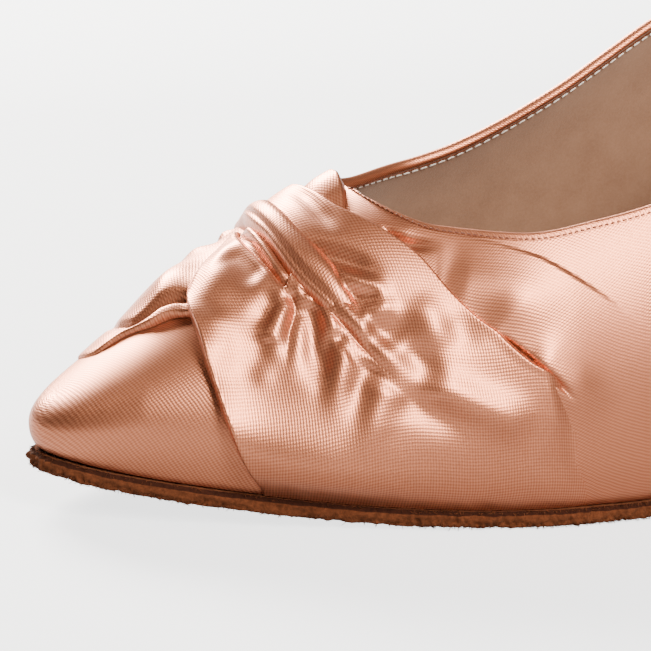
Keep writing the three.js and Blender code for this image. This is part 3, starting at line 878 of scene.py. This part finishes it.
def surface_step(along, across, direction):
    """How far a millimetre in a given direction goes along and across the vamp."""
    ahead = (vamp_point(along + 0.05, across) - vamp_point(along - 0.05, across)) / 0.1
    over = (vamp_point(along, across + 0.1) - vamp_point(along, across - 0.1)) / 0.2
    ahead_ahead, ahead_over, over_over = (ahead**2).sum(-1), (ahead * over).sum(-1), (over**2).sum(-1)
    by_ahead, by_over = (direction * ahead).sum(-1), (direction * over).sum(-1)
    size = ahead_ahead * over_over - ahead_over**2
    step_along = (by_ahead * over_over - by_over * ahead_over) / size
    return step_along, (by_over * ahead_ahead - by_ahead * ahead_over) / size


def twist_roll(count=240):
    """The rolled fold across the twist: it lies on the drapes and its long edges dive between folds."""
    line = path_points(ROLL_MIDDLE, count)
    place = np.linspace(0, 1, count)
    spots = vamp_point(line[:, 0], line[:, 1])
    ahead = unit(np.gradient(spots, axis=0))
    sideways = unit(np.cross(vamp_normal(line[:, 0], line[:, 1]), ahead))
    step_along, step_across = surface_step(line[:, 0], line[:, 1], sideways)
    shares = np.linspace(-1, 1, 61)
    out = smooth_curve(ROLL_WIDTHS)(place)[:, None] * shares[None]
    along = line[:, :1] + step_along[:, None] * out
    across = line[:, 1:] + step_across[:, None] * out
    lean = 0.5 * np.sin(shares * math.pi / 2)[None] * smoothstep(0.35, 0.6, place)[:, None]
    crown = smooth_curve(ROLL_HEIGHTS)(place)[:, None] * (1 - shares**2)[None] ** 0.75 * (1 + 0.35 * lean)
    groove = 0.35 * faded(place, 0.5, 0.2)[:, None] * np.exp(-(((shares + 0.3) / 0.2) ** 2))[None]
    pinched = smoothstep(0.44, 0.58, place) * (1 - smoothstep(0.8, 0.9, place))
    toe_side = 1.8 * (shares < 0)[None] * pinched[:, None]
    far_side = 1.7 * smoothstep(8, 18, across)
    ends = 1.0 * (1 - faded(place, 0.08, 0.14))[:, None]
    dive = (0.9 + toe_side + far_side) * (np.abs(shares) ** 4)[None] + ends
    rest = np.maximum(outer_swell(along, across), np.where(across > 0, inner_swell(along, across), 0))
    height = (rest + crown - groove - dive)[..., None]
    points = vamp_point(along, across) + vamp_normal(along, across) * height
    run = np.r_[0, np.cumsum(np.linalg.norm(np.diff(spots, axis=0), axis=-1))]
    cloth = turned(run[:, None] + 0 * out, out, ROLL_GRAIN)
    return sheet_piece("twist_roll", points, SATIN, cloth, flip=True)


# The edges of the inner drape, rows of (across, distance from the toe)
INNER_FRONT = [(-18, 27.5), (-14, 25.5), (-10, 23.5), (-6, 19.5), (0, 17), (4, 15), (8, 11.5), (12, 9.8),
               (20, 9.2), (30, 9.5), (50, 13), (75, 20), (97, 29)]
INNER_REAR = [(-18, 54), (-14, 55.8), (-10, 57), (-4, 58.8), (2, 59.9), (10, 59.8), (25, 62), (40, 68),
              (60, 78), (72, 85), (97, 88)]
# Each row: corners, height, breadth, fade-in share, fade-out share
INNER_FOLDS = [
    ([(26, -13), (21, -7), (16.5, 0), (13, 9), (13, 25), (16, 45)], 0.2, 1.8, 0.1, 0.5),
    ([(30, -10), (28, -8), (26, -4), (23.5, -1), (20, 2), (17.5, 8), (17, 20), (19, 36), (24, 58),
      (30, 84)], -1.8, 1.0, 0.05, 0.75),
    ([(43, 26), (38, 36), (34, 48), (32, 60)], 1.2, 3.0, 0.2, 0.5),
    ([(44, 28), (43, 40), (44, 52), (45, 66)], -1.1, 1.6, 0.15, 0.5),
    ([(45, 28), (48, 38), (50, 50), (51, 66)], 1.0, 2.2, 0.15, 0.5),
    ([(47, 28), (52, 38), (56, 50), (60, 66)], -1.1, 1.5, 0.15, 0.5),
    ([(50, 26), (57, 36), (63, 48), (70, 62)], 1.0, 2.6, 0.15, 0.5),
]


def inner_drape():
    front, rear = smooth_curve(INNER_FRONT), smooth_curve(INNER_REAR)
    share = np.linspace(0, 1, 250) ** 1.2
    a = np.linspace(-18, 99, 300)[:, None]
    along = front(a) + (rear(a) - front(a)) * share[None]
    base = vamp_point(along, a)
    height = inner_swell(along, a)
    # The small peak behind the twist
    peak = 2.0 * smoothstep(-12, 1.5, a) * (1 - smoothstep(3, 15, a))
    height += smoothstep(50, 57, along) * (peak - 0.9 * (1 - smoothstep(-13, -4, a)))
    height *= 1 - 0.6 * smoothstep(54, 60, along) * smoothstep(4, 16, a)
    height += 1.5 * mound(along, a, (29, 4), (6, 15))
    height *= 1 - 0.75 * smoothstep(70, 99, a)
    height = with_folds(height, base, INNER_FOLDS)
    width = np.linalg.norm(base[:, -1] - base[:, 0], axis=-1)[:, None]
    height = height * (0.1 + 0.9 * edge_round(share[None] * width, 1.2))
    height = height * (0.15 + 0.85 * edge_round((1 - share[None]) * width, 0.4))
    points = base + vamp_normal(along, a) * np.maximum(height, 0.05)[..., None]
    cloth = cloth_at(along, a, INNER_DRAPE_GRAIN)
    return sheet_piece("drape_inner_cloth", points, SATIN, cloth)


# Sole, insole and heel
def outline_point(along, side, grow):
    """The feather edge seen from above, grown outwards."""
    def at(angle):
        place = SHOE_LENGTH * (1 - np.cos(angle)) / 2
        beyond = (angle < 0) | (angle > math.pi)
        return np.where(beyond[..., None], last_point(place, 0, -side), last_point(place, 0, side))

    angle = round_angle(along)
    ahead = at(angle + 0.01) - at(angle - 0.01)
    outwards = unit(np.stack([ahead[..., 1], -ahead[..., 0], np.zeros_like(angle)], -1))
    return at(angle) - side * grow * outwards


def ruled(left, right, count):
    """A grid of straight rows from one line to another."""
    shares = np.linspace(0, 1, count)[None, :, None]
    return left[:, None] * (1 - shares) + right[:, None] * shares


def ragged(points, size, seed):
    """Repeatable roughness, a sum of short waves in three directions."""
    random = np.random.default_rng(seed)
    total = np.zeros(points.shape[:-1])
    waves = 26
    for _ in range(waves):
        wave = random.normal(size=3)
        wave = wave / np.linalg.norm(wave) * random.uniform(1.2, 6.5)
        total += np.cos(points @ wave + random.uniform(0, 2 * math.pi)) / waves ** 0.5
    return size * total


def sole_fibres(ring, out, count=5200):
    """Loose suede fibres standing off the cut edge, each a thin curved blade."""
    random = np.random.default_rng(11)
    station = random.integers(2, len(ring) - 2, count)
    level = random.choice([0, 1, 6, 7, 8, 9], count, p=[0.18, 0.12, 0.1, 0.15, 0.2, 0.25])
    foot = ring[station, level]
    ahead = unit(ring[station + 1, level] - ring[station - 1, level])
    lean = ahead * random.normal(0, 0.8, (count, 1)) + [0, 0, 1] * random.normal(-0.1, 0.5, (count, 1))
    away = unit(-out[station] + lean)
    length = random.uniform(0.35, 1.05, (count, 1))
    half = random.uniform(0.05, 0.09, (count, 1))
    curl = unit(random.normal(size=(count, 3))) * 0.3 * length
    side = unit(np.cross(away, random.normal(size=(count, 3))))
    root = foot - away * 0.1
    middle = foot + away * length * 0.55 + curl * 0.35
    tip = foot + away * length + curl
    points = np.stack([root - side * half, root + side * half, middle + side * half * 0.8,
                       middle - side * half * 0.8, tip], 1)
    points[..., 2] = np.maximum(points[..., 2], 0.02)
    first = 5 * np.arange(count)[:, None]
    blades = (first + [0, 1, 2, 3]).tolist() + (first + [3, 2, 4]).tolist()
    points = points.reshape(-1, 3)
    return make_piece("outsole_fibres", points, blades, SOLE_EDGE, smooth=False)


# Levels of the cut edge as shares from its top, and how rough each one is, in millimetres
EDGE_LEVELS = [0, 0.1, 0.22, 0.34, 0.46, 0.58, 0.7, 0.82, 0.92, 1.0]
EDGE_ROUGHNESS = np.array([0.06, 0.16, 0.26, 0.34, 0.4, 0.42, 0.44, 0.44, 0.42, 0.3])


def edge_directions(line):
    """Level directions square to a line round the sole."""
    return unit(np.stack([np.gradient(line[:, 1]), -np.gradient(line[:, 0]), np.zeros(len(line))], -1))


def outsole():
    toe = VAMP_LENGTH * (1 - np.cos(np.linspace(0, math.pi / 2, 90)))
    stations = np.r_[toe, np.linspace(VAMP_LENGTH, BREAST, 420)[1:]]
    profile = [(0, SOLE_THICK), (112, SOLE_THICK), (140, SHANK_THICK), (BREAST, SHANK_THICK)]
    thickness = smooth_curve(profile)(stations)
    halves = []
    for side in (OUTER, INNER):
        line = outline_point(stations, side, 1.0)
        columns = []
        for level in EDGE_LEVELS:
            p = line.copy()
            p[:, 2] = feather_height(line[:, 0] + HEEL_REST) - GAP - thickness * level
            shape = 0.35 * math.sin(math.pi * min(1, level * 1.05)) - 0.25 * (level > 0.95)
            inset = -0.45 if level < 0.18 else 0.0
            columns.append(p + edge_directions(line) * -side * (shape + inset))
        halves.append(np.stack(columns, 1))
    ring = np.concatenate([halves[0][::-1], halves[1][1:]])
    out = edge_directions(ring[:, 0])
    ring = ring + out[:, None] * (ragged(ring, 1.0, 3) * EDGE_ROUGHNESS[None])[..., None]
    ring[:, -3:, 2] += (np.abs(ragged(ring[:, -1:], 0.14, 5))) * np.array([0.3, 0.6, 1.0])
    edge = sheet_piece("outsole_edge", ring, SOLE_EDGE)
    # The two upper rows, just under the upper, are nearly black
    edge.data.materials.append(SOLE_TOP_BAND)
    dark = (np.arange(len(edge.data.polygons)) % (ring.shape[1] - 1)) < 2
    edge.data.polygons.foreach_set("material_index", dark.astype(int).tolist())
    sole_fibres(ring, out)
    # Floor face and top face, ruled straight across
    half = len(stations)
    for name, line, flip in (("outsole_face", ring[:, -1], True), ("outsole_top", ring[:, 0], False)):
        grid = ruled(line[:half][::-1], line[half - 1:], 24)
        if flip:
            grid[:, 1:-1, 2] = np.maximum(grid[:, 1:-1, 2], 0.0)
        sheet_piece(name, grid, SOLE_EDGE, flip=flip)
    return edge


def insole_sock():
    stations = SHOE_LENGTH * (1 - np.cos(np.linspace(0.02, math.pi - 0.02, 160))) / 2
    grid = ruled(outline_point(stations, OUTER, -1.0), outline_point(stations, INNER, -1.0), 40)
    hollow = np.sin(math.pi * np.linspace(0, 1, 40)) ** 0.7
    grid[..., 2] = feather_height(grid[..., 0] + HEEL_REST) + INSOLE_THICK - 0.25 * hollow[None] + 0.2
    return sheet_piece("sock", grid, LINING)


# Rows of (share of the way down, front, back, half width)
HEEL_SHAPE = [
    (0, 192.3, 238, 26.5), (0.12, 195, 236.6, 21.5), (0.28, 198.6, 234.2, 17), (0.5, 201.4, 230.8, 13.6),
    (0.75, 202.4, 227.8, 12.4), (1, 201, 227, 13.2),
]
HEEL_CORNER = 0.62
heel_front, heel_back, heel_width = (
    smooth_curve([(row[0], row[k]) for row in HEEL_SHAPE]) for k in (1, 2, 3))


def heel_ring(down, grow, count=72):
    """One level of the heel, from the outer front corner round the back and across the front."""
    front, back, width = heel_front(down) - grow, heel_back(down) + grow, heel_width(down) + grow
    s = np.linspace(0, 1, count + 1)
    turn = (s - 0.5) * math.pi
    reach = np.abs(np.cos(turn)) ** HEEL_CORNER
    plain = np.stack([front + (back - front) * reach - HEEL_REST, width * np.sin(turn), 0 * s], -1)
    seat_along = BREAST + GAP + (SHOE_LENGTH - BREAST - GAP) * reach
    outer = outline_point(seat_along, OUTER, 0.4 + grow)
    inner = outline_point(seat_along, INNER, 0.4 + grow)
    seat = np.where((s < 0.5)[:, None], outer, inner)
    seat[count // 2, 1] = 0
    seat[:, 2] = 0
    share = float(1 - smoothstep(0, 0.3, down))
    ring = plain * (1 - share) + seat * share
    t = np.linspace(0, 1, 17)[1:-1, None]
    return np.concatenate([ring, ring[-1] * (1 - t) + ring[0] * t])


def closed_ring_piece(name, rings, material):
    """A mesh object from level rings, closed by a fan at the top and the bottom."""
    rings = np.array(rings)
    levels, count = rings.shape[:2]
    points = np.concatenate([rings.reshape(-1, 3), rings[0].mean(0)[None], rings[-1].mean(0)[None]])
    faces = grid_faces(levels, count, ring=True).tolist()
    top, bottom = levels * count, levels * count + 1
    for j in range(count):
        k = (j + 1) % count
        faces.append([top, j, k])
        faces.append([bottom, (levels - 1) * count + k, (levels - 1) * count + j])
    run = np.cumsum(np.linalg.norm(np.diff(rings[0], axis=0, prepend=rings[0][:1]), axis=-1))
    cloth = np.zeros((len(points), 3))
    cloth[:levels * count, 0] = np.tile(run * 0.6, levels)
    cloth[:levels * count, 1] = rings[..., 2].reshape(-1)
    return make_piece(name, points, faces, material, cloth)


def heel():
    seat_height = feather_height(heel_ring(0, 0)[:, 0] + HEEL_REST) - GAP
    rings = []
    for s in np.linspace(0, 1, 60):
        down = s ** 1.3
        ring = heel_ring(down, 0)
        ring[:, 2] = seat_height * (1 - down) + (HEEL_TIP_THICK + GAP) * down
        rings.append(ring)
    return closed_ring_piece("heel_cover", rings, SATIN_HEEL)


def heel_tip():
    rings = []
    for z, grow in ((6.25, 0.0), (6.1, 0.22), (5.8, 0.3), (0.5, 0.3), (0.12, 0.18), (0, 0)):
        ring = heel_ring(1, grow)
        ring[:, 2] = z
        rings.append(ring)
    return closed_ring_piece("heel_tip_block", rings, TIP)


def build_shoe():
    cap = toe_cap()
    quarter(OUTER)
    quarter(INNER)
    loop = topline_path()
    topline_edge(loop)
    lining()
    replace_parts(cap, "upper")
    # The outer stitches carry painted shade of their holes
    stitch_row("topline_stitches", loop, STITCH_PAINTED_SHADE,
               depth=1.15, offset=0.2, pitch=1.15, length=0.8, radius=0.15)
    stitch_row("lining_stitches", loop, LINING_THREAD,
               depth=1.9, offset=-WALL - 0.05, pitch=1.9, length=1.4, radius=0.24)
    drape = outer_drape()
    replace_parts(drape, "drape_outer")
    far = inner_drape()
    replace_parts(far, "drape_inner")
    knot = twist_roll()
    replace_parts(knot, "twist_knot")
    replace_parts(outsole(), "outsole")
    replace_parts(insole_sock(), "insole")
    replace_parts(heel(), "heel")
    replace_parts(heel_tip(), "heel_tip")


# Camera at the photograph's angle: where it stands is found from a point of the vamp
VIEW_TURN = math.radians(24.7)
VIEW_HEIGHT = math.radians(15.3)
VIEW_ROLL = math.radians(2.14)
VIEW_DISTANCE = 793 * MM
VIEW_LENS = 239.4
VIEW_POINT = np.array([66 - HEEL_REST, 0, 35]) * MM
VIEW_SHIFT = np.array([8.51, 6.06]) * MM


def place_camera():
    back = np.array([-math.sin(VIEW_TURN), -math.cos(VIEW_TURN), 0]) * math.cos(VIEW_HEIGHT)
    back[2] = math.sin(VIEW_HEIGHT)
    level = np.array([math.cos(VIEW_TURN), -math.sin(VIEW_TURN), 0])
    upright = np.cross(back, level)
    right = level * math.cos(VIEW_ROLL) + upright * math.sin(VIEW_ROLL)
    up = -level * math.sin(VIEW_ROLL) + upright * math.cos(VIEW_ROLL)
    place = VIEW_POINT - right * VIEW_SHIFT[0] - up * VIEW_SHIFT[1] + back * VIEW_DISTANCE
    data = bpy.data.cameras.new("camera")
    data.lens = VIEW_LENS
    data.sensor_width = 36
    data.clip_start = 0.01
    camera = bpy.data.objects.new("camera", data)
    bpy.context.collection.objects.link(camera)
    matrix = np.eye(4)
    matrix[:3, 0], matrix[:3, 1], matrix[:3, 2], matrix[:3, 3] = right, up, back, place
    camera.matrix_world = Matrix(matrix.tolist())
    bpy.context.scene.camera = camera


# Lights: name, place, size and power; all look at one point near the toe
LIGHTS = [
    ("back box", (-0.19, 0.82, 0.52), (0.46, 0.36), 48),
    ("front box", (-0.09, -0.70, 0.59), (0.27, 0.54), 20),
    ("left box", (-0.75, -0.1, 0.85), (0.25, 0.25), 0.7),
]
LIGHT_TARGET = (-0.15, 0, 0.03)
LIGHT_COLOUR = (1, 0.93, 0.835)
WORLD_STRENGTH = 0.05
FLOOR_REACH = 3.0
FLOOR_COLOUR = (0.39, 0.41, 0.44, 1)
FLOOR_IN_VIEW = 2.4


def area_light(name, place, size, power):
    data = bpy.data.lights.new(name, "AREA")
    data.shape = "RECTANGLE"
    data.size, data.size_y = size
    data.energy = power
    data.color = LIGHT_COLOUR
    light = bpy.data.objects.new(name, data)
    bpy.context.collection.objects.link(light)
    light.location = place
    light.rotation_euler = (Vector(LIGHT_TARGET) - Vector(place)).to_track_quat("-Z", "Y").to_euler()


def floor_material():
    """Pale floor: it glows behind the shoe, and everywhere for the camera only."""
    material, tree, shader = new_material("pale floor")
    set_inputs(shader, Base_Color=FLOOR_COLOUR, Roughness=0.8, Emission_Color=(1, 1, 1, 1))
    split = tree.nodes.new("ShaderNodeSeparateXYZ")
    tree.links.new(object_places(tree), split.inputs[0])
    behind = math_node(tree, "SMOOTH_MIN", math_node(tree, "MULTIPLY", split.outputs["Y"], 8.0), 3.0, 0.8)
    glow = math_node(tree, "MAXIMUM", behind, 0.05)
    seen = tree.nodes.new("ShaderNodeLightPath").outputs["Is Camera Ray"]
    in_view = math_node(tree, "MULTIPLY", seen, FLOOR_IN_VIEW)
    tree.links.new(math_node(tree, "MAXIMUM", glow, in_view), shader.inputs["Emission Strength"])
    return material


def studio():
    world = bpy.data.worlds.new("studio")
    bpy.context.scene.world = world
    world.use_nodes = True
    set_inputs(world.node_tree.nodes["Background"], Color=(1, 1, 1, 1), Strength=WORLD_STRENGTH)
    for row in LIGHTS:
        area_light(*row)
    corners = [(x * FLOOR_REACH, y * FLOOR_REACH, 0) for x, y in ((-1, -1), (1, -1), (1, 1), (-1, 1))]
    mesh = bpy.data.meshes.new("floor")
    mesh.from_pydata(corners, [], [(0, 1, 2, 3)])
    mesh.materials.append(floor_material())
    floor = bpy.data.objects.new("floor", mesh)
    floor.location.z = -0.0002
    bpy.context.collection.objects.link(floor)


place_camera()
studio()
build_shoe()
